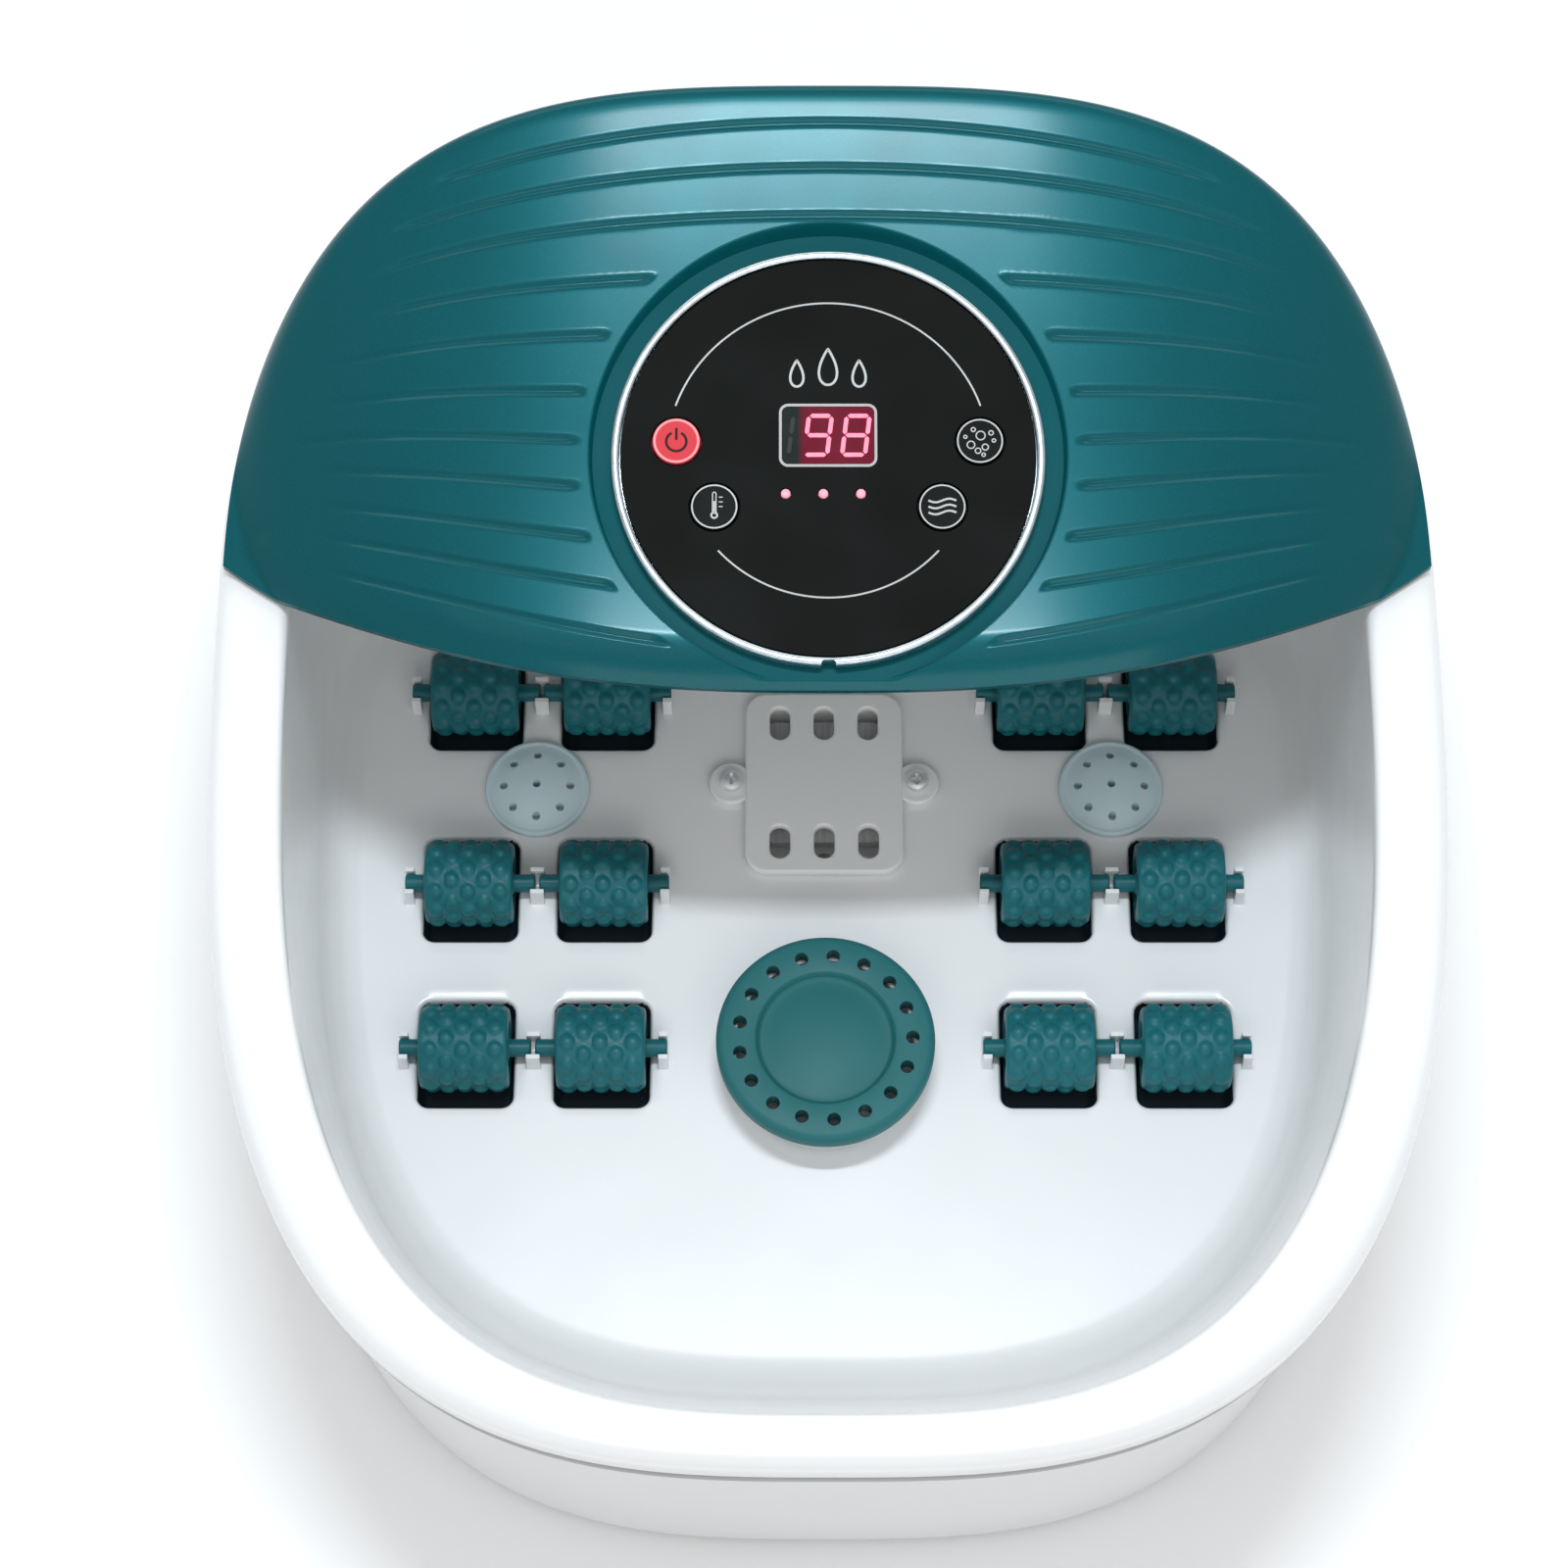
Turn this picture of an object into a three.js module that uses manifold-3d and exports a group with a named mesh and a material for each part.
// Pedicure foot bath: a basin with a rounded rim in an outer casing, a rear hood with a round control
// panel, twelve foot rollers in floor pockets, a herb box, two bubble vents, and the heater, air blower
// and vibration motor that it needs inside. Millimetres, +Z up, the user sits at -Y, and the origin is
// the middle of the footprint on the floor.
import * as THREE from "three";
import { mergeVertices } from "three/addons/utils/BufferGeometryUtils.js";
import Module from "manifold-3d";

// ---- driving dimensions ----
const RIM_HALF_WIDTH = 180;
const RIM_REACH_FRONT = 254.5; // from the outline's centre to the front of the rim
const RIM_REACH_REAR = 150;
const CENTRE_Y = (RIM_REACH_FRONT - RIM_REACH_REAR) / 2; // the centre that every oval outline shares
const CORNER_POWER = 3; // the power of the outlines' superellipse
const OVAL_STEPS = 48;

const RIM_TOP = 150;
const SKIRT_BOTTOM = 128;
const FLOOR_TOP = 32;
const SHELL = 2.8; // wall of the moulded shells
const CASING_BOTTOM = 2.6;
const COVER_BOTTOM = 4;
const COVER_THICK = 2.6;
const FOOT_RADIUS = 13;
const FOOT_STEM = 4;

const GAP = 0.3; // between faces that touch on the real object

const DECK_UNDER = RIM_TOP - SHELL - 1; // underside of the flat deck behind the tub
const HOOD_BASE = RIM_TOP + GAP;
const HOOD_HALF_WIDTH = 177.5;
const HOOD_REACH_REAR = 147;
const HOOD_WALL = 3.2;
const HOOD_LIP_Y = 17.5; // foremost point of the hood's front edge
const HOOD_LIP_SWEEP = 49; // how far the edge falls back at the corners
const HOOD_LIP_ROLL = 5; // how far the skin rolls down at that edge
const HOOD_LIP_LENGTH = 14; // over this much of its length
const HOOD_SIDE_FALL = 38; // how much lower its skin is at the sides than in the middle
const HOOD_SWELL = 0.0007; // how fast the skin curves up behind HOOD_SWELL_Y, per millimetre
const HOOD_SWELL_Y = 95;
const HOOD_SHOULDER = 0.23; // share of the outline that the rounded wall takes up
const HOOD_FOOT = 3; // height of the upright band at the foot of the wall

const PANEL_Y = 83.75;
const PANEL_Z = 189;
const PANEL_TILT = THREE.MathUtils.degToRad(10);
const BEZEL_RADIUS = 62.5;
const BEZEL_WIDTH = 2.3;
const BEZEL_BORE = 57;
const MOAT_RADIUS = 68.5;
const MOAT_SHIFT = 1.5; // the moat's centre lies this far up the slope from the panel's
const MOAT_DEPTH = 4.5;
const LEDGE_THICK = 4;
const LEDGE_HOLE = 56;
const PANEL_RADIUS = 59.9;
const PANEL_THICK = 3;
const KEY_RADIUS = 6.9;
const KEY_HOLE = 7.3;
const KEYS = {
  power_key: [-43.7, 4.4],
  temperature_key: [-32.7, -15.4],
  vibration_key: [32.7, -15.4],
  bubble_key: [43.7, 4.4],
};
const DISPLAY = { y: 6.2, width: 27.8, height: 18.6 };
const LIGHTS = { x: [-12.2, -1.4, 9.4], y: -11.3, radius: 1.5 };
const KEY_STEM_END = -11;
const KEY_TRAVEL = 0.6;
const BOARD_TOP = -14.4; // below the panel's face
const BOARD_THICK = 1.6;
const BOARD_RADIUS = 50;
const TRAY_RADIUS = 59;
const TRAY_BOTTOM = -20;

const ROLLER_ROWS = [
  { name: "front", y: -41 },
  { name: "middle", y: 14 },
  { name: "rear", y: 80 },
];
const ROLLER_PLACES = [
  { name: "inner", x: 69 },
  { name: "outer", x: 111 },
];
const ROLLER_RADIUS = 12.6;
const ROLLER_NUB = 1.2;
const ROLLER_LENGTH = 27.4;
const ROLLER_Z = FLOOR_TOP + 5;
const STUB_RADIUS = 2.8;
const STUB_LENGTH = 6.6;
const POCKET_WIDTH = 30;
const POCKET_LENGTH = 35;
const POCKET_DEPTH = 11;
const POCKET_WALL = 2;
const POCKET_FLOOR_THICK = 2.2;

const VENT_X = 91;
const VENT_Y = 48;
const VENT_RADIUS = 16.5;
const NOZZLE_RADIUS = 5;
const NOZZLE_LENGTH = 10;
const VENT_JETS = 8;
const VENT_JET_RADIUS = 1.3;
const VENT_JET_CIRCLE = 10.5;

const HERB_Y = -43;
const HERB_LID_RADIUS = 33.5;
const HERB_CUP_RADIUS = 30;
const HERB_LID_BOTTOM = 46;
const HERB_LID_THICK = 6;
const HERB_DISH_RADIUS = 20.3;
const HERB_HOLES = 17;
const HERB_HOLE_CIRCLE = 25.6;

const HEATER_Y = 49.5;
const HEATER_POCKET = [44, 56];
const HEATER_POCKET_DEPTH = 12;
const HEATER_POCKET_WALL = 2.5;
const HEATER_COVER_TOP = FLOOR_TOP + 3.6;
const COVER_SCREW_X = 29.4;
const PROBE_Y = HEATER_Y - 23;
const PROBE_RADIUS = 2.5;

const BLOWER = { y: 164, z: 78, radius: 29, depth: 22, wall: 2, shaftHole: 2.3, inlet: 11 };
const VIBRATOR = { y: -100, z: 18, radius: 9, length: 32 };
const SPOUT_X = 13; // the blower's two outlets
const SPOUT_Y = 176;
const SPOUT_END = 42;
const HOSE_RADIUS = 4;
const HOSE_Z = 13;
const CABLE_RADIUS = 2.2;
const CABLE_X = 30; // where the control panel's cable drops through the rim's rear deck
const CABLE_Y = 172;
const GLAND = [60, 34]; // x and z of the mains inlet
const GLAND_Y = 190; // middle of the casing wall that it passes through
const GLAND_RADIUS = 6.9;

const POST_X = 80; // the basin's screw posts
const POST_Y = [-120, 115];
const FOOT_X = 115;
const FOOT_Y = [-125, 130];
const HOOD_SCREW = [100, 165];

// ---- solids ----
const wasm = await Module();
wasm.setup();

// A closed geometry as a solid. A profile may run either way round: one that comes out inside out
// is turned.
function solid(geometry) {
  const bare = geometry.index ? geometry.toNonIndexed() : geometry.clone();
  bare.deleteAttribute("normal");
  bare.deleteAttribute("uv");
  const merged = mergeVertices(bare, 1e-4);
  const vertProperties = merged.attributes.position.array;
  const triVerts = new Uint32Array(merged.index.array);
  const body = new wasm.Manifold(new wasm.Mesh({ numProp: 3, vertProperties, triVerts }));
  if (body.volume() > 0) return body;
  for (let i = 0; i < triVerts.length; i += 3) {
    [triVerts[i + 1], triVerts[i + 2]] = [triVerts[i + 2], triVerts[i + 1]];
  }
  return new wasm.Manifold(new wasm.Mesh({ numProp: 3, vertProperties, triVerts }));
}

function geometryOf(body) {
  const mesh = body.getMesh();
  const geometry = new THREE.BufferGeometry();
  geometry.setAttribute("position", new THREE.BufferAttribute(mesh.vertProperties, mesh.numProp));
  geometry.setIndex(new THREE.BufferAttribute(mesh.triVerts, 1));
  geometry.computeVertexNormals();
  return geometry;
}

const join = (...bodies) => bodies.reduce((all, body) => all.add(body));
const cut = (body, ...tools) => tools.reduce((rest, tool) => rest.subtract(tool), body);

// A box from its lowest and highest corners.
function block([x0, y0, z0], [x1, y1, z1]) {
  const box = new THREE.BoxGeometry(x1 - x0, y1 - y0, z1 - z0);
  return solid(box.translate((x0 + x1) / 2, (y0 + y1) / 2, (z0 + z1) / 2));
}

// An upright round body turned from [radius, z] points that start and end on the axis.
function turned(points, sides = 24) {
  const profile = points.map(([r, z]) => new THREE.Vector2(r, z));
  return new THREE.LatheGeometry(profile, sides).rotateX(Math.PI / 2);
}

const rod = (radius, z0, z1, sides = 16) =>
  turned([[0, z0], [radius, z0], [radius, z1], [0, z1]], sides);

const rodAt = (x, y, radius, z0, z1, sides) => solid(rod(radius, z0, z1, sides).translate(x, y, 0));

// An upright slab with rounded corners, centred on x, y.
function roundedSlab(x, y, width, length, corner, z0, z1, cornerSteps = 1) {
  const shape = new THREE.Shape();
  const [w, l] = [width / 2 - corner, length / 2 - corner];
  shape.absarc(w, l, corner, 0, Math.PI / 2);
  shape.absarc(-w, l, corner, Math.PI / 2, Math.PI);
  shape.absarc(-w, -l, corner, Math.PI, 1.5 * Math.PI);
  shape.absarc(w, -l, corner, 1.5 * Math.PI, 2 * Math.PI);
  const options = { depth: z1 - z0, bevelEnabled: false, curveSegments: cornerSteps };
  return new THREE.ExtrudeGeometry(shape, options).translate(x, y, z0);
}

const slabBody = (...sizes) => solid(roundedSlab(...sizes));

// ---- oval shells ----
// One level of an oval shell: half width, reach to the front, reach to the rear, and height.
function ovalLevel([halfWidth, front, rear, z]) {
  return Array.from({ length: OVAL_STEPS }, (_, i) => {
    const angle = (i / OVAL_STEPS) * 2 * Math.PI;
    const [c, s] = [Math.cos(angle), Math.sin(angle)];
    const x = halfWidth * Math.sign(c) * Math.abs(c) ** (2 / CORNER_POWER);
    const y = (s < 0 ? -front : rear) * Math.abs(s) ** (2 / CORNER_POWER);
    return new THREE.Vector3(x, CENTRE_Y + y, z);
  });
}

// A closed body through oval levels. A capped one ends in flat ovals; an open one joins its last level
// to its first, as a ring does.
function ovalBody(levels, capped) {
  const rings = levels.map(ovalLevel);
  const points = rings.flat();
  const faces = [];
  const at = (ring, i) => (ring % rings.length) * OVAL_STEPS + (i % OVAL_STEPS);
  const bands = capped ? rings.length - 1 : rings.length;
  for (let ring = 0; ring < bands; ring++) {
    for (let i = 0; i < OVAL_STEPS; i++) {
      faces.push(at(ring, i), at(ring, i + 1), at(ring + 1, i + 1));
      faces.push(at(ring, i), at(ring + 1, i + 1), at(ring + 1, i));
    }
  }
  if (capped) {
    const last = rings.length - 1;
    const first = points.push(new THREE.Vector3(0, CENTRE_Y, levels[0][3])) - 1;
    const end = points.push(new THREE.Vector3(0, CENTRE_Y, levels[last][3])) - 1;
    for (let i = 0; i < OVAL_STEPS; i++) {
      faces.push(first, at(0, i + 1), at(0, i));
      faces.push(end, at(last, i), at(last, i + 1));
    }
  }
  const geometry = new THREE.BufferGeometry().setFromPoints(points);
  geometry.setIndex(faces);
  return solid(geometry);
}

// The basin's inside, as [half width, front, rear, z]: floor edge, fillet, sloping wall, rim.
const INSIDE = [
  [147, 192, 80, FLOOR_TOP],
  [152, 197, 84, FLOOR_TOP + 2],
  [155.5, 201.5, 87.5, FLOOR_TOP + 7],
  [157, 207, 90, FLOOR_TOP + 15],
  [158, 239.5, 97, RIM_TOP - 4],
  [158.6, 240.2, 97.6, RIM_TOP - 1.2],
  [160.5, 242, 99.5, RIM_TOP],
];

const grow = ([halfWidth, front, rear, z], by, down) => [
  halfWidth + by,
  front + by,
  rear + by,
  z - down,
];

// Turns a section so that its x runs along Y, its y along Z and its depth along X.
const SECTION_YZ = new THREE.Matrix4().makeBasis(
  new THREE.Vector3(0, 1, 0),
  new THREE.Vector3(0, 0, 1),
  new THREE.Vector3(1, 0, 0),
);

// Where the saddles stand that carry the rollers' stubs, and how wide each is.
const CRADLES = [
  [50, 3],
  [90, 4.4],
  [130, 3],
];

// A saddle on the floor with an open round notch for one stub, or for the tips of two.
function cradle(x, y, width) {
  const half = 5.2;
  const draft = 0.8;
  const notch = STUB_RADIUS + 0.2;
  const top = ROLLER_Z + 2.6;
  const shape = new THREE.Shape();
  shape.moveTo(-half, FLOOR_TOP - 1);
  shape.lineTo(half, FLOOR_TOP - 1);
  shape.lineTo(half - draft, top);
  shape.lineTo(notch, top);
  shape.lineTo(notch, ROLLER_Z);
  shape.absarc(0, ROLLER_Z, notch, 0, -Math.PI, true);
  shape.lineTo(-notch, top);
  shape.lineTo(draft - half, top);
  const options = { depth: width, bevelEnabled: false, curveSegments: 3 };
  const saddle = new THREE.ExtrudeGeometry(shape, options).applyMatrix4(SECTION_YZ);
  return solid(saddle.translate(x - width / 2, y, 0));
}

function basin() {
  const outerRim = [
    [174, 248.5, 144, RIM_TOP],
    [177.6, 252.1, 147.6, RIM_TOP - 1.6],
    [179.6, 254.1, 149.6, RIM_TOP - 5],
    [RIM_HALF_WIDTH, RIM_REACH_FRONT, RIM_REACH_REAR, RIM_TOP - 9],
    [179.8, 253.4, 149.8, SKIRT_BOTTOM + 4],
    [179.2, 252.6, 149.2, SKIRT_BOTTOM],
  ];
  const underside = [
    [176.6, 250, 146.6, SKIRT_BOTTOM],
    [177, 251, 147, RIM_TOP - 9],
    [173, 247, 143, DECK_UNDER],
    [161.4, 243, 100.4, DECK_UNDER],
  ];
  const wall = INSIDE.slice(1, 5).reverse();
  const outside = wall.map((level) => grow(level, SHELL, 1));
  const bottom = grow(INSIDE[0], 0, SHELL);
  const shell = ovalBody([...INSIDE, ...outerRim, ...underside, ...outside, bottom], true);

  const added = [];
  const tools = [];
  const pocketFloor = FLOOR_TOP - POCKET_DEPTH;
  for (const side of [-1, 1]) {
    for (const { y } of ROLLER_ROWS) {
      for (const place of ROLLER_PLACES) {
        const x = side * place.x;
        const [width, length] = [POCKET_WIDTH, POCKET_LENGTH];
        const [boxWidth, boxLength] = [width + 2 * POCKET_WALL, length + 2 * POCKET_WALL];
        const boxBottom = pocketFloor - POCKET_FLOOR_THICK;
        added.push(slabBody(x, y, boxWidth, boxLength, 4, boxBottom, FLOOR_TOP - 1, 1));
        tools.push(slabBody(x, y, width, length, 3, pocketFloor, FLOOR_TOP + 1, 1));
      }
      for (const [x, width] of CRADLES) added.push(cradle(side * x, y, width));
    }
    tools.push(rodAt(side * VENT_X, VENT_Y, NOZZLE_RADIUS + 0.6, FLOOR_TOP - 6, FLOOR_TOP + 2, 14));
    added.push(rodAt(side * COVER_SCREW_X, HEATER_Y, 4, FLOOR_TOP - 14, FLOOR_TOP - 1, 10));
    tools.push(rodAt(side * COVER_SCREW_X, HEATER_Y, 1.9, FLOOR_TOP - 12, FLOOR_TOP + 1, 8));
    for (const y of POST_Y) {
      const foot = COVER_BOTTOM + COVER_THICK + GAP;
      added.push(rodAt(side * POST_X, y, 5, foot, FLOOR_TOP - 1, 10));
      tools.push(rodAt(side * POST_X, y, 2.2, foot - 1, FLOOR_TOP - 5, 8));
    }
    const [screwX, screwY] = HOOD_SCREW;
    tools.push(rodAt(side * screwX, screwY, 2.3, RIM_TOP - 8, RIM_TOP + 2, 8));
  }

  const heaterFloor = FLOOR_TOP - HEATER_POCKET_DEPTH;
  const [heaterWidth, heaterLength] = HEATER_POCKET;
  const [boxWidth, boxLength] = [heaterWidth, heaterLength].map((size) => size + 2 * HEATER_POCKET_WALL);
  const heaterBox = [boxWidth, boxLength, 6, heaterFloor - HEATER_POCKET_WALL, FLOOR_TOP - 1];
  added.push(slabBody(0, HEATER_Y, ...heaterBox));
  tools.push(slabBody(0, HEATER_Y, heaterWidth, heaterLength, 4, heaterFloor, FLOOR_TOP + 1));
  tools.push(rodAt(0, PROBE_Y, PROBE_RADIUS + 0.3, heaterFloor - 4, heaterFloor + 1, 10));
  tools.push(slabBody(CABLE_X, CABLE_Y, 16, 9, 4, RIM_TOP - 8, RIM_TOP + 2, 3));
  return cut(join(shell, ...added), ...tools);
}

function lowerCasing() {
  const outer = [
    [168, 238.5, 140, CASING_BOTTOM],
    [169.5, 240, 141.4, CASING_BOTTOM + 7],
    [172.5, 244.6, 143.6, 66],
    [175.4, 248.8, 146, SKIRT_BOTTOM - 4],
    [175.6, 249, 146, SKIRT_BOTTOM + 10],
  ];
  const coverTop = COVER_BOTTOM + COVER_THICK + GAP;
  const ledge = [
    [158, 228.5, 130, coverTop + 2.6],
    [158, 228.5, 130, coverTop],
    [165.4, 235.9, 137.4, coverTop],
    [165.4, 235.9, 137.4, CASING_BOTTOM],
  ];
  const inner = outer.slice(1).reverse().map((level) => grow(level, -SHELL, 0));
  const shell = ovalBody([...outer, ...inner, ...ledge], false);
  const [glandX, glandZ] = GLAND;
  const hole = new THREE.CylinderGeometry(GLAND_RADIUS + 0.4, GLAND_RADIUS + 0.4, 30, 14);
  return cut(shell, solid(hole.translate(glandX, GLAND_Y, glandZ)));
}

function bottomCover() {
  const edge = [164.9, 235.4, 136.9];
  const levels = [COVER_BOTTOM, COVER_BOTTOM + COVER_THICK].map((z) => [...edge, z]);
  const holes = [];
  for (const side of [-1, 1]) {
    for (const y of POST_Y) holes.push(rodAt(side * POST_X, y, 2.4, 0, 10, 8));
    for (const y of FOOT_Y) holes.push(rodAt(side * FOOT_X, y, FOOT_STEM + 0.4, 0, 10, 10));
  }
  return cut(ovalBody(levels, true), ...holes);
}

// ---- hood ----
const hoodEdgeY = (x) => HOOD_LIP_Y + HOOD_LIP_SWEEP * (Math.abs(x) / HOOD_HALF_WIDTH) ** 2.7;

const hoodRearY = (x, inset) =>
  CENTRE_Y +
  (HOOD_REACH_REAR - inset) *
    Math.cbrt(1 - (Math.abs(x) / (HOOD_HALF_WIDTH - inset)) ** CORNER_POWER);

// Height of the hood's skin: a slope as steep as the panel's that curves up towards the rear and falls
// away to the sides, rolls over at the front edge, and comes down steeply to the rim all round.
function hoodZ(x, y, inset) {
  const slope = PANEL_Z - 1 + (y - PANEL_Y) * Math.tan(PANEL_TILT);
  const swell = HOOD_SWELL * Math.max(0, y - HOOD_SWELL_Y) ** 2;
  const fall = HOOD_SIDE_FALL * (Math.abs(x) / HOOD_HALF_WIDTH) ** 4.5;
  const fromEdge = Math.max(0, y - hoodEdgeY(x)) / HOOD_LIP_LENGTH;
  const roll = HOOD_LIP_ROLL * Math.max(0, 1 - fromEdge) ** 2;
  const across = (Math.abs(x) / (HOOD_HALF_WIDTH - inset)) ** CORNER_POWER;
  const along = Math.max(0, (y - CENTRE_Y) / (HOOD_REACH_REAR - inset)) ** CORNER_POWER;
  const inward = THREE.MathUtils.clamp((1 - across - along) / HOOD_SHOULDER, 0, 1);
  const wall = Math.cbrt(1 - (1 - inward) ** 4);
  const foot = HOOD_BASE + HOOD_FOOT;
  return foot + Math.max(0, slope + swell - fall - roll - foot) * wall - inset;
}

// The solid under the hood's skin, from `base` up, shrunk by `inset` and reaching `forward` in front.
function hoodBody(inset, forward, base) {
  const [columns, rows] = [24, 12];
  const skin = [];
  const floor = [];
  for (let i = 0; i <= columns; i++) {
    const x = 0.992 * (HOOD_HALF_WIDTH - inset) * Math.sin((i / columns - 0.5) * Math.PI);
    const front = hoodEdgeY(x) - forward;
    const rear = hoodRearY(x, inset);
    for (let j = 0; j <= rows; j++) {
      const y = front + (rear - front) * Math.sin((j / rows) * 0.5 * Math.PI);
      skin.push(new THREE.Vector3(x, y, Math.max(base + 1, hoodZ(x, y, inset))));
    }
    floor.push(new THREE.Vector3(x, front, base), new THREE.Vector3(x, rear, base));
  }
  const top = (i, j) => i * (rows + 1) + j;
  const low = (i, end) => skin.length + 2 * i + end;
  const faces = [];
  const quad = (a, b, c, d) => faces.push(a, b, c, a, c, d);
  for (let i = 0; i < columns; i++) {
    for (let j = 0; j < rows; j++) {
      quad(top(i, j), top(i + 1, j), top(i + 1, j + 1), top(i, j + 1));
    }
    quad(low(i, 0), low(i, 1), low(i + 1, 1), low(i + 1, 0));
    quad(low(i, 0), low(i + 1, 0), top(i + 1, 0), top(i, 0));
    quad(low(i, 1), top(i, rows), top(i + 1, rows), low(i + 1, 1));
  }
  for (let j = 0; j < rows; j++) {
    faces.push(low(0, 0), top(0, j), top(0, j + 1));
    faces.push(low(columns, 0), top(columns, j + 1), top(columns, j));
  }
  faces.push(low(0, 0), top(0, rows), low(0, 1));
  faces.push(low(columns, 0), low(columns, 1), top(columns, rows));
  const geometry = new THREE.BufferGeometry().setFromPoints([...skin, ...floor]);
  geometry.setIndex(faces);
  return solid(geometry);
}

// Moves a geometry from the panel's own frame, with its face at z = 0, onto the hood.
const onPanel = (geometry) => geometry.rotateX(PANEL_TILT).translate(0, PANEL_Y, PANEL_Z);

function hood() {
  const full = hoodBody(0, 0, HOOD_BASE);
  const shell = cut(full, hoodBody(HOOD_WALL, 20, HOOD_BASE - 5));
  const shifted = (geometry) => solid(onPanel(geometry.translate(0, MOAT_SHIFT, 0)));
  const ledgeBottom = -MOAT_DEPTH - LEDGE_THICK;
  const ledge = shifted(rod(MOAT_RADIUS + 2.5, ledgeBottom, -1, 36)).intersect(full);
  const [screwX, screwY] = HOOD_SCREW;
  const bossTop = HOOD_BASE + 22;
  const bosses = [-1, 1].flatMap((side) => {
    const rib = [[side * screwX - 1.2, screwY, HOOD_BASE], [side * screwX + 1.2, screwY + 30, bossTop]];
    return [rodAt(side * screwX, screwY, 4.6, HOOD_BASE, bossTop, 10), block(...rib)];
  });
  const screwHoles = [-1, 1].map((side) =>
    rodAt(side * screwX, screwY, 2, HOOD_BASE - 1, HOOD_BASE + 14, 8),
  );
  const moat = shifted(rod(MOAT_RADIUS, -MOAT_DEPTH, 30, 36));
  const opening = solid(onPanel(rod(LEDGE_HOLE, -30, 0, 32)));
  const braced = join(shell, ledge, join(...bosses).intersect(full));
  return cut(braced, moat, opening, ...screwHoles);
}

// ---- control panel, in the panel's own frame ----
function panelBezel() {
  const inner = BEZEL_RADIUS - BEZEL_WIDTH;
  const floor = GAP - MOAT_DEPTH;
  const seat = -PANEL_THICK - GAP;
  const profile = [
    [BEZEL_BORE, floor],
    [BEZEL_RADIUS, floor],
    [BEZEL_RADIUS, 0.2],
    [BEZEL_RADIUS - 0.7, 0.8],
    [inner, 0.8],
    [inner, seat],
    [BEZEL_BORE, seat],
    [BEZEL_BORE, floor],
  ];
  return solid(turned(profile, 40));
}

function controlPanel() {
  const disc = solid(rod(PANEL_RADIUS, -PANEL_THICK, 0, 40));
  const holes = Object.values(KEYS).map(([x, y]) => rodAt(x, y, KEY_HOLE, -5, 2, 16));
  for (const x of LIGHTS.x) holes.push(rodAt(x, LIGHTS.y, LIGHTS.radius, -5, 2, 8));
  holes.push(slabBody(0, DISPLAY.y, DISPLAY.width, DISPLAY.height, 2.5, -5, 2));
  return cut(disc, ...holes);
}

function keyCap() {
  const flange = -PANEL_THICK - 0.4;
  const profile = [
    [0, KEY_STEM_END],
    [2.5, KEY_STEM_END],
    [2.5, flange - 1],
    [8, flange - 1],
    [8, flange],
    [KEY_RADIUS, flange],
    [KEY_RADIUS, 0.4],
    [0, 0.4],
  ];
  return solid(turned(profile, 14));
}

function displayWindow() {
  const under = -PANEL_THICK - GAP;
  const [width, height] = [DISPLAY.width, DISPLAY.height];
  return join(
    slabBody(0, DISPLAY.y, width - 0.6, height - 0.6, 2.2, under, 0),
    slabBody(0, DISPLAY.y, width + 3, height + 2.4, 3, under - 0.9, under),
  );
}

const displayModule = () =>
  slabBody(0, DISPLAY.y, DISPLAY.width - 2, DISPLAY.height - 2, 1, BOARD_TOP + GAP, -4.6, 1);

function lightGuide() {
  const pins = LIGHTS.x.map((x) => rodAt(x, LIGHTS.y, LIGHTS.radius - 0.2, BOARD_TOP + GAP, 0, 8));
  const [first, last] = [LIGHTS.x[0], LIGHTS.x.at(-1)];
  const bar = block([first - 1, LIGHTS.y - 1.5, -6.4], [last + 1, LIGHTS.y + 1.5, -4.8]);
  return join(bar, ...pins);
}

function controlBoard() {
  const board = solid(rod(BOARD_RADIUS, BOARD_TOP - BOARD_THICK, BOARD_TOP, 28));
  const switches = Object.values(KEYS).map(([x, y]) =>
    block([x - 3, y - 3, BOARD_TOP - 1], [x + 3, y + 3, KEY_STEM_END - KEY_TRAVEL - GAP]),
  );
  const driver = block([-8, -32, BOARD_TOP - 1], [8, -20, BOARD_TOP + 2]);
  const plug = block([22, 24, BOARD_TOP - 1], [34, 32, BOARD_TOP + 5]);
  return join(board, ...switches, driver, plug);
}

function panelTray() {
  const top = -MOAT_DEPTH - LEDGE_THICK - GAP;
  const inner = TRAY_RADIUS - 2;
  const cup = solid(
    turned(
      [
        [0, TRAY_BOTTOM],
        [TRAY_RADIUS - 3, TRAY_BOTTOM],
        [TRAY_RADIUS, TRAY_BOTTOM + 3],
        [TRAY_RADIUS, top],
        [inner, top],
        [inner, TRAY_BOTTOM + 2],
        [0, TRAY_BOTTOM + 2],
      ],
      24,
    ),
  );
  const standoffs = [45, 135, 225, 315].map((degrees) => {
    const angle = THREE.MathUtils.degToRad(degrees);
    const [x, y] = [44 * Math.cos(angle), 44 * Math.sin(angle)];
    return rodAt(x, y, 3, TRAY_BOTTOM + 1, BOARD_TOP - BOARD_THICK - GAP, 8);
  });
  return join(cup, ...standoffs);
}

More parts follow.
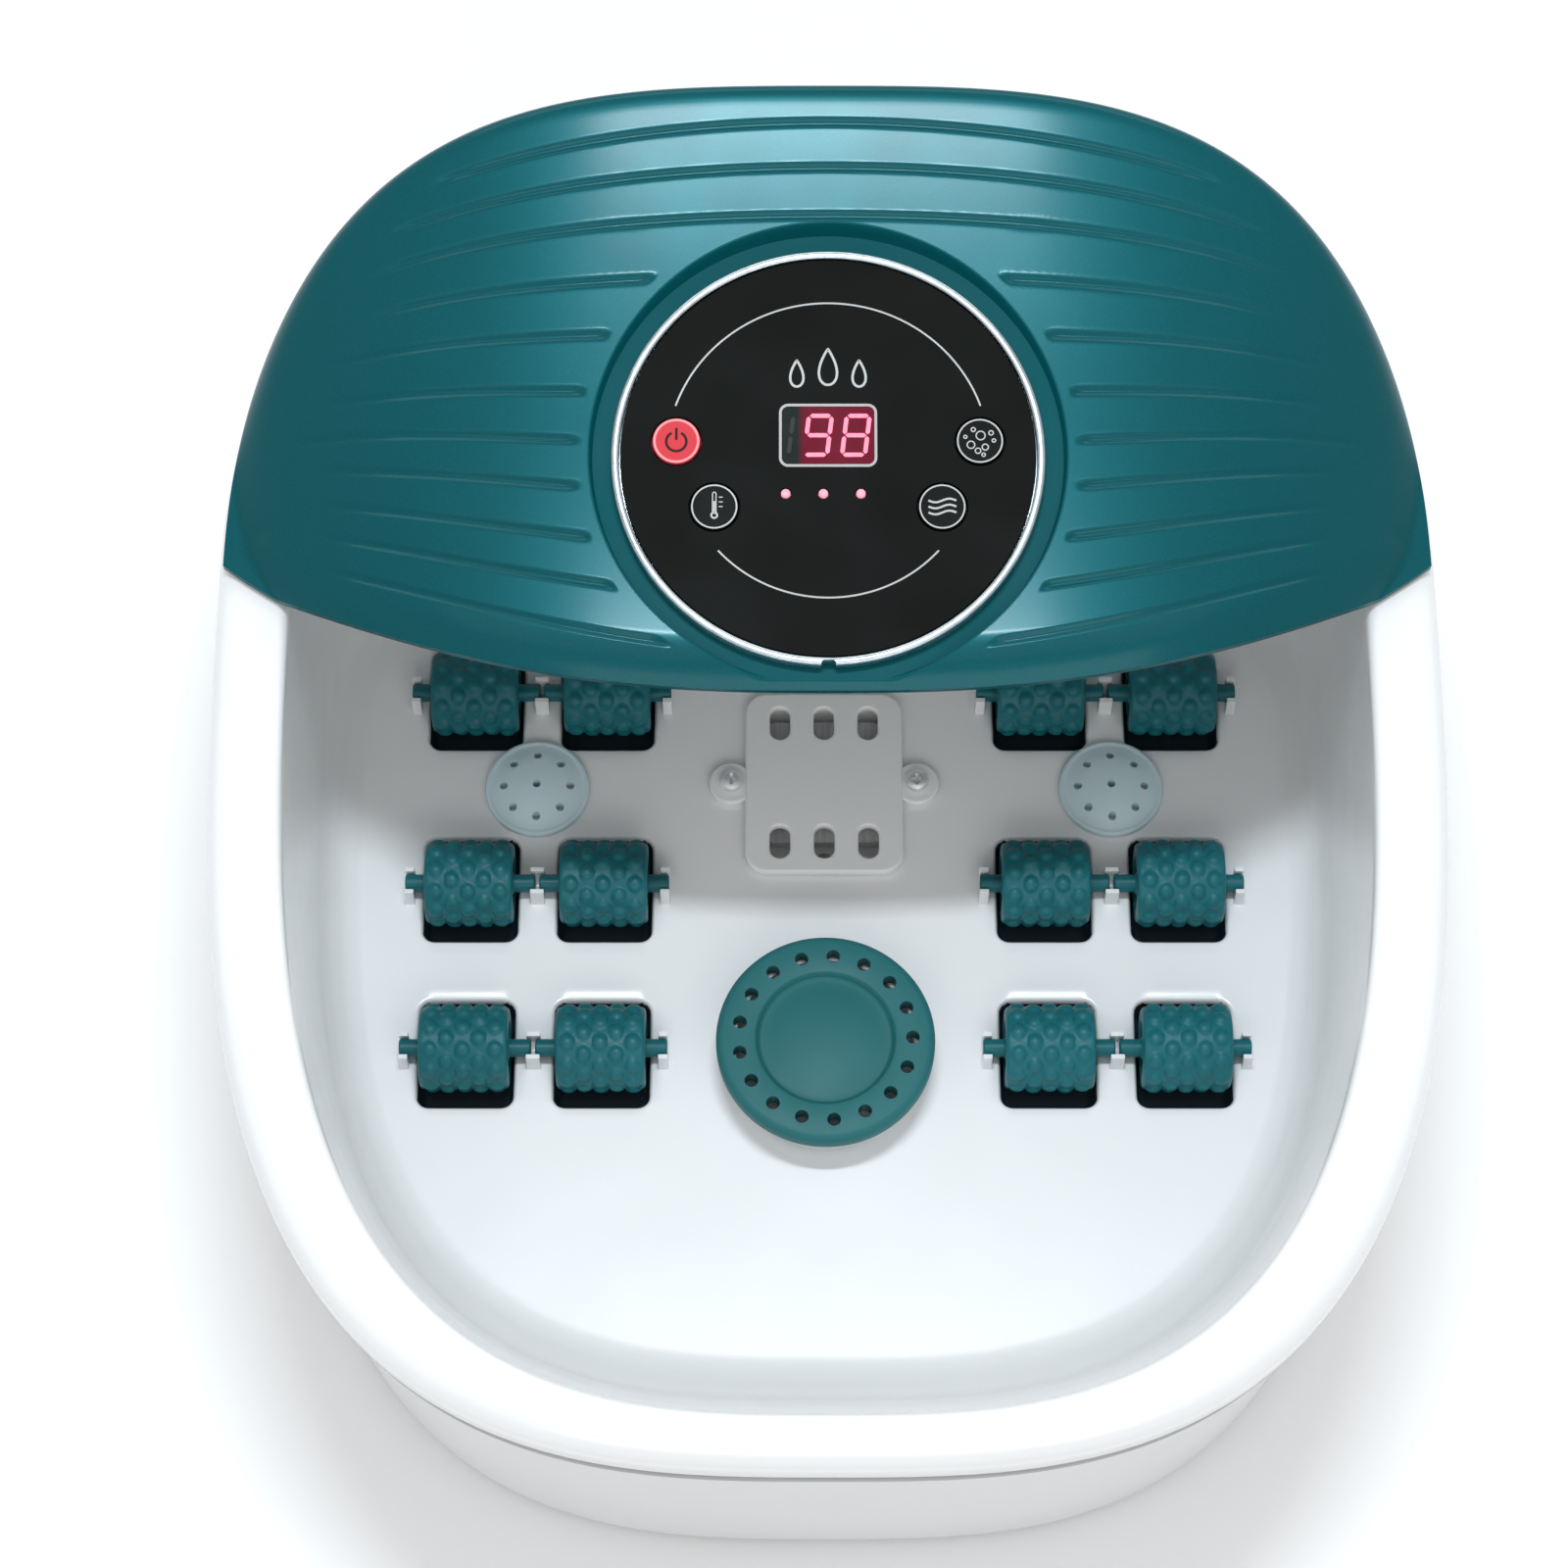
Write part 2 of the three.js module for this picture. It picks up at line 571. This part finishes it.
// ---- basin fittings ----
// One roller, lying along X about the origin, with its two stub axles.
function roller() {
  const shape = new THREE.Shape();
  const [nubs, steps] = [10, 20];
  for (let i = 0; i < steps; i++) {
    const angle = (i / steps) * 2 * Math.PI;
    const radius = ROLLER_RADIUS + ROLLER_NUB * Math.max(0, Math.cos(nubs * angle));
    const [x, y] = [radius * Math.cos(angle), radius * Math.sin(angle)];
    if (i) shape.lineTo(x, y);
    else shape.moveTo(x, y);
  }
  const drum = new THREE.ExtrudeGeometry(shape, { depth: ROLLER_LENGTH, bevelEnabled: false });
  const half = ROLLER_LENGTH / 2 + STUB_LENGTH;
  const axle = rod(STUB_RADIUS, -half, half, 10);
  return join(
    solid(drum.translate(0, 0, -ROLLER_LENGTH / 2).rotateY(Math.PI / 2)),
    solid(axle.rotateY(Math.PI / 2)),
  );
}

function heaterCover() {
  const [low, high] = [FLOOR_TOP + GAP, HEATER_COVER_TOP];
  const plate = slabBody(0, HEATER_Y, 50, 62, 7, low, high);
  const ears = [-1, 1].map((side) => rodAt(side * COVER_SCREW_X, HEATER_Y, 7, low, high, 14));
  const holes = [-1, 1].map((side) => rodAt(side * COVER_SCREW_X, HEATER_Y, 2.2, low - 1, high + 1, 8));
  for (const x of [-14, 0, 14]) {
    for (const y of [-20.5, 20.5]) {
      holes.push(slabBody(x, HEATER_Y + y, 6.4, 11, 3.1, low - 1, high + 1));
    }
  }
  return cut(join(plate, ...ears), ...holes);
}

// A pan-head screw, its head's underside at z = 0 and its shank going up.
function screw(headRadius, shankRadius, length) {
  const profile = [[0, -2.4], [headRadius * 0.7, -2.4], [headRadius, -1.2], [headRadius, 0], [0, 0]];
  const head = solid(turned(profile, 8));
  const recess = join(block([-0.5, -2, -3], [0.5, 2, -1.4]), block([-2, -0.5, -3], [2, 0.5, -1.4]));
  return cut(join(head, solid(rod(shankRadius, -0.5, length, 6))), recess);
}

function herbCup() {
  const [low, high] = [FLOOR_TOP + GAP, HERB_LID_BOTTOM - GAP];
  const radius = HERB_CUP_RADIUS;
  const profile = [
    [0, low],
    [radius - 2, low],
    [radius, low + 2],
    [radius, high],
    [radius - 2.4, high],
    [radius - 2.4, low + 2.2],
    [0, low + 2.2],
  ];
  const slots = [0, 60, 120].map((degrees) => {
    const bar = new THREE.BoxGeometry(2 * radius + 4, 7, 5);
    const angle = THREE.MathUtils.degToRad(degrees);
    return solid(bar.rotateZ(angle).translate(0, 0, low + 8.5));
  });
  return cut(solid(turned(profile, 24)), ...slots);
}

function herbLid() {
  const [low, high] = [HERB_LID_BOTTOM, HERB_LID_BOTTOM + HERB_LID_THICK];
  const profile = [
    [0, low - 1.6],
    [HERB_DISH_RADIUS + 1, low - 1.6],
    [HERB_DISH_RADIUS + 1, low],
    [HERB_LID_RADIUS, low],
    [HERB_LID_RADIUS, high - 2],
    [HERB_LID_RADIUS - 2, high],
    [HERB_DISH_RADIUS + 1.5, high],
    [HERB_DISH_RADIUS - 0.5, high - 2.6],
    [0, high - 1],
  ];
  const holes = Array.from({ length: HERB_HOLES }, (_, i) => {
    const angle = (i / HERB_HOLES) * 2 * Math.PI;
    const [x, y] = [HERB_HOLE_CIRCLE * Math.cos(angle), HERB_HOLE_CIRCLE * Math.sin(angle)];
    return rodAt(x, y, 2.1, low - 4, high + 1, 6);
  });
  return cut(solid(turned(profile, 32)), ...holes);
}

function bubbleVent() {
  const low = FLOOR_TOP + GAP;
  const profile = [
    [0, low - NOZZLE_LENGTH],
    [NOZZLE_RADIUS, low - NOZZLE_LENGTH],
    [NOZZLE_RADIUS, low],
    [VENT_RADIUS, low],
    [VENT_RADIUS, low + 2.2],
    [0, low + 5.4],
  ];
  const jets = [rodAt(0, 0, VENT_JET_RADIUS, low + 1, low + 8, 6)];
  for (let i = 0; i < VENT_JETS; i++) {
    const angle = (i / VENT_JETS) * 2 * Math.PI;
    const [x, y] = [VENT_JET_CIRCLE * Math.cos(angle), VENT_JET_CIRCLE * Math.sin(angle)];
    jets.push(rodAt(x, y, VENT_JET_RADIUS, low - 1, low + 8, 5));
  }
  return cut(solid(turned(profile, 24)), rodAt(0, 0, 3, low - 12, low + 1.6, 10), ...jets);
}

// ---- heater ----
function heaterPlate() {
  const floor = FLOOR_TOP - HEATER_POCKET_DEPTH + GAP;
  const plate = slabBody(0, HEATER_Y + 4, 38, 42, 3, floor + 3, floor + 6);
  const legs = [];
  for (const x of [-14, 14]) {
    for (const y of [-12, 20]) legs.push(rodAt(x, HEATER_Y + y, 2, floor, floor + 4, 8));
  }
  return join(plate, ...legs);
}

const temperatureProbe = () => {
  const floor = FLOOR_TOP - HEATER_POCKET_DEPTH;
  const profile = [
    [0, floor - 8],
    [4.4, floor - 8],
    [4.4, floor - HEATER_POCKET_WALL - GAP],
    [PROBE_RADIUS, floor - HEATER_POCKET_WALL - GAP],
    [PROBE_RADIUS, floor + 6],
    [PROBE_RADIUS - 1, floor + 7],
    [0, floor + 7],
  ];
  return solid(turned(profile, 12).translate(0, PROBE_Y, 0));
};

function thermalCutout() {
  const top = FLOOR_TOP - HEATER_POCKET_DEPTH - HEATER_POCKET_WALL - GAP;
  const disc = rodAt(0, HEATER_Y + 4, 7, top - 5, top, 16);
  const tabs = [-1, 1].map((side) =>
    block([side * 5 - 1.5, HEATER_Y + 3.6, top - 9], [side * 5 + 1.5, HEATER_Y + 4.4, top - 4]),
  );
  return join(disc, ...tabs);
}

// ---- air blower; the lathe's own axis is Y, which is the blower's ----
const lathed = (points, sides) =>
  new THREE.LatheGeometry(points.map(([r, y]) => new THREE.Vector2(r, y)), sides);

const onBlower = (geometry) => solid(geometry.translate(0, BLOWER.y, BLOWER.z));

function blowerHousing() {
  const { radius, depth, wall, shaftHole } = BLOWER;
  const cup = onBlower(
    lathed(
      [
        [shaftHole, 0],
        [radius, 0],
        [radius, depth],
        [radius - wall, depth],
        [radius - wall, wall],
        [shaftHole, wall],
        [shaftHole, 0],
      ],
      20,
    ),
  );
  const top = BLOWER.z - radius + 3;
  const spouts = [-1, 1].map((side) => rodAt(side * SPOUT_X, SPOUT_Y, 4, SPOUT_END, top, 10));
  const ways = [-1, 1].map((side) => rodAt(side * SPOUT_X, SPOUT_Y, 2.6, SPOUT_END - 1, top + 4, 8));
  return cut(join(cup, ...spouts), ...ways);
}

function blowerCover() {
  const { radius, depth, wall, inlet } = BLOWER;
  const from = depth + GAP;
  return onBlower(
    lathed(
      [
        [inlet, from],
        [radius, from],
        [radius, from + wall],
        [inlet, from + wall],
        [inlet, from],
      ],
      20,
    ),
  );
}

function blowerWheel() {
  const disc = onBlower(lathed([[0, 4], [24, 4], [24, 5.6], [5, 5.6], [5, 12], [0, 12]], 20));
  const shaft = onBlower(lathed([[0, -9], [1.9, -9], [1.9, 5], [0, 5]], 10));
  const blades = Array.from({ length: 10 }, (_, i) => {
    const blade = new THREE.BoxGeometry(14, 12, 1.2).translate(16.5, 11, 0).rotateY(0.35);
    return onBlower(blade.rotateY((i / 10) * 2 * Math.PI));
  });
  return join(disc, shaft, ...blades);
}

const blowerMotor = () =>
  onBlower(
    lathed(
      [
        [0, -14],
        [12, -14],
        [12, -GAP],
        [BLOWER.shaftHole, -GAP],
        [BLOWER.shaftHole, -9.6],
        [0, -9.6],
      ],
      20,
    ),
  );

// A round body along a path.
function tube(radius, sides, steps, points) {
  const section = new THREE.Shape();
  for (let i = 0; i < sides; i++) {
    const angle = (i / sides) * 2 * Math.PI;
    const [x, y] = [radius * Math.cos(angle), radius * Math.sin(angle)];
    if (i) section.lineTo(x, y);
    else section.moveTo(x, y);
  }
  const path = new THREE.CatmullRomCurve3(
    points.map((p) => new THREE.Vector3(...p)),
    false,
    "centripetal",
  );
  return solid(new THREE.ExtrudeGeometry(section, { steps, extrudePath: path, bevelEnabled: false }));
}

function airHose(side) {
  const nozzleEnd = FLOOR_TOP - 10.4;
  return tube(HOSE_RADIUS, 8, 20, [
    [side * SPOUT_X, SPOUT_Y, SPOUT_END - GAP],
    [side * SPOUT_X, SPOUT_Y, 34],
    [side * 16, 168, 20],
    [side * 26, 150, HOSE_Z],
    [side * 40, 126, HOSE_Z],
    [side * 42, 90, HOSE_Z],
    [side * 46, 62, HOSE_Z],
    [side * 62, 46, HOSE_Z],
    [side * 82, VENT_Y, HOSE_Z - 0.5],
    [side * VENT_X, VENT_Y, nozzleEnd - 5],
    [side * VENT_X, VENT_Y, nozzleEnd],
  ]);
}

function panelCable() {
  return tube(CABLE_RADIUS, 6, 18, [
    [CABLE_X, 145, 185],
    [CABLE_X, 152, 184.5],
    [CABLE_X, 163, 178],
    [CABLE_X, 170, 167],
    [CABLE_X, CABLE_Y, 152],
    [CABLE_X, CABLE_Y, 138],
    [CABLE_X + 10, 168, 126],
    [CABLE_X + 30, 159, 118],
    [CABLE_X + 32, 156.8, 111],
  ]);
}

// ---- vibration motor ----
const alongX = (geometry) =>
  solid(geometry.rotateY(Math.PI / 2).translate(0, VIBRATOR.y, VIBRATOR.z));

function vibrationMotor() {
  const half = VIBRATOR.length / 2;
  const can = alongX(rod(VIBRATOR.radius, -half, half, 20));
  return cut(can, alongX(rod(1.9, half - 7, half + 1, 8)));
}

function eccentricWeight() {
  const half = VIBRATOR.length / 2;
  const shaft = alongX(rod(1.6, half - 6, half + 11, 8));
  const shape = new THREE.Shape();
  shape.absarc(0, 0, 7.5, Math.PI, 2 * Math.PI);
  shape.lineTo(2.6, 1.4);
  shape.lineTo(-2.6, 1.4);
  const lobe = new THREE.ExtrudeGeometry(shape, { depth: 6, bevelEnabled: false, curveSegments: 8 });
  lobe.applyMatrix4(SECTION_YZ);
  return join(shaft, solid(lobe.translate(half + 4, VIBRATOR.y, VIBRATOR.z)));
}

function motorBracket() {
  const { y, z, radius } = VIBRATOR;
  const top = FLOOR_TOP - SHELL - GAP;
  const body = block([-9, y - radius - 4, z - 2], [9, y + radius + 4, top]);
  return cut(body, alongX(rod(radius + GAP, -20, 20, 20)));
}

// ---- electrics ----
function powerBoard() {
  const face = 157.6;
  const board = block([34, face - 1.6, 44], [94, face, 110]);
  const transformer = block([40, face - 1, 50], [64, face + 17, 70]);
  const relay = block([72, face - 1, 52], [88, face + 12, 66]);
  const capacitors = [48, 66].map((x) => {
    const can = new THREE.CylinderGeometry(6, 6, 18, 12);
    return solid(can.translate(x, face + 8, 86));
  });
  const plug = block([56, face - 1, 100], [70, face + 6, 109]);
  return join(board, transformer, relay, ...capacitors, plug);
}

function cordGland() {
  const [x, z] = GLAND;
  const profile = [
    [3.2, 180],
    [9.4, 180],
    [9.4, 187],
    [GLAND_RADIUS, 187],
    [GLAND_RADIUS, 194.4],
    [9.6, 194.4],
    [9.6, 197],
    [7, 199.5],
    [3.2, 199.5],
    [3.2, 180],
  ];
  return solid(lathed(profile, 16).translate(x, 0, z));
}

function rubberFoot() {
  const under = COVER_BOTTOM - GAP;
  const top = COVER_BOTTOM + COVER_THICK;
  const profile = [
    [0, 0],
    [FOOT_RADIUS - 0.6, 0],
    [FOOT_RADIUS, under],
    [FOOT_STEM, under],
    [FOOT_STEM, top + GAP],
    [FOOT_STEM + 1, top + GAP],
    [FOOT_STEM - 1, top + 3],
    [0, top + 3],
  ];
  return solid(turned(profile, 12));
}

// ---- assembly ----
const finish = (color, roughness, metalness = 0) =>
  new THREE.MeshStandardMaterial({ color, roughness, metalness });

const WHITE = () => finish(0xf1f2f2, 0.28);
const TEAL = () => finish(0x0f6b74, 0.3);
const ROLLER_TEAL = () => finish(0x137078, 0.45);
const BLACK_GLOSS = () => finish(0x141413, 0.12);
const CHROME = () => finish(0xd8dadc, 0.12, 1);
const STEEL = () => finish(0xb4b6b8, 0.35, 1);
const RUBBER = () => finish(0x2b2b2b, 0.85);
const BOARD_GREEN = () => finish(0x1f5a38, 0.5);
const DARK_PLASTIC = () => finish(0x26282a, 0.55);
const CLEAR = () => finish(0x501418, 0.1);
const HOSE = () => finish(0xc9cfcc, 0.4);

function piece(name, body, material, x = 0, y = 0, z = 0) {
  const mesh = new THREE.Mesh(geometryOf(body), material);
  mesh.name = name;
  mesh.position.set(x, y, z);
  return mesh;
}

const bath = new THREE.Group();
bath.add(piece("basin", basin(), WHITE()));
bath.add(piece("lower_casing", lowerCasing(), WHITE()));
bath.add(piece("bottom_cover", bottomCover(), WHITE()));
bath.add(piece("hood", hood(), TEAL()));

const panel = new THREE.Group();
panel.rotation.x = PANEL_TILT;
panel.position.set(0, PANEL_Y, PANEL_Z);
panel.add(piece("panel_bezel", panelBezel(), CHROME()));
panel.add(piece("control_panel", controlPanel(), BLACK_GLOSS()));
panel.add(piece("display_window", displayWindow(), CLEAR()));
panel.add(piece("display_module", displayModule(), DARK_PLASTIC()));
panel.add(piece("indicator_light_guide", lightGuide(), CLEAR()));
panel.add(piece("control_board", controlBoard(), BOARD_GREEN()));
panel.add(piece("panel_tray", panelTray(), DARK_PLASTIC()));
for (const [name, [x, y]] of Object.entries(KEYS)) {
  const material = name === "power_key" ? finish(0xc8323c, 0.3) : BLACK_GLOSS();
  panel.add(piece(name, keyCap(), material, x, y, 0));
}
bath.add(panel);

for (const side of [-1, 1]) {
  const sideName = side < 0 ? "left" : "right";
  for (const row of ROLLER_ROWS) {
    for (const place of ROLLER_PLACES) {
      const name = `roller_${row.name}_${sideName}_${place.name}`;
      bath.add(piece(name, roller(), ROLLER_TEAL(), side * place.x, row.y, ROLLER_Z));
    }
  }
  bath.add(piece(`bubble_vent_${sideName}`, bubbleVent(), TEAL(), side * VENT_X, VENT_Y, 0));
  bath.add(piece(`air_hose_${sideName}`, airHose(side), HOSE()));

  const coverScrew = screw(3.6, 1.5, 10);
  const coverScrewMesh = piece(`heater_cover_screw_${sideName}`, coverScrew, STEEL());
  coverScrewMesh.rotation.x = Math.PI;
  coverScrewMesh.position.set(side * COVER_SCREW_X, HEATER_Y, HEATER_COVER_TOP + GAP);
  bath.add(coverScrewMesh);

  const [hoodScrewX, hoodScrewY] = HOOD_SCREW;
  const hoodScrew = piece(`hood_screw_${sideName}`, screw(3.8, 1.6, 16), STEEL());
  hoodScrew.position.set(side * hoodScrewX, hoodScrewY, DECK_UNDER - GAP);
  bath.add(hoodScrew);

  for (const [end, y] of [["front", POST_Y[0]], ["rear", POST_Y[1]]]) {
    const name = `base_screw_${end}_${sideName}`;
    bath.add(piece(name, screw(3.8, 1.8, 18), STEEL(), side * POST_X, y, COVER_BOTTOM - GAP));
  }
  for (const [end, y] of [["front", FOOT_Y[0]], ["rear", FOOT_Y[1]]]) {
    bath.add(piece(`foot_${end}_${sideName}`, rubberFoot(), RUBBER(), side * FOOT_X, y, 0));
  }
}

bath.add(piece("heater_cover", heaterCover(), WHITE()));
bath.add(piece("herb_cup", herbCup(), WHITE(), 0, HERB_Y, 0));
bath.add(piece("herb_lid", herbLid(), TEAL(), 0, HERB_Y, 0));
bath.add(piece("heater_plate", heaterPlate(), STEEL()));
bath.add(piece("temperature_probe", temperatureProbe(), STEEL()));
bath.add(piece("thermal_cutout", thermalCutout(), DARK_PLASTIC()));
bath.add(piece("blower_housing", blowerHousing(), DARK_PLASTIC()));
bath.add(piece("blower_cover", blowerCover(), DARK_PLASTIC()));
bath.add(piece("blower_wheel", blowerWheel(), WHITE()));
bath.add(piece("blower_motor", blowerMotor(), STEEL()));
bath.add(piece("vibration_motor", vibrationMotor(), STEEL()));
bath.add(piece("eccentric_weight", eccentricWeight(), STEEL()));
bath.add(piece("motor_bracket", motorBracket(), DARK_PLASTIC()));
bath.add(piece("power_board", powerBoard(), BOARD_GREEN()));
bath.add(piece("panel_cable", panelCable(), RUBBER()));
bath.add(piece("cord_gland", cordGland(), RUBBER()));

export default bath;
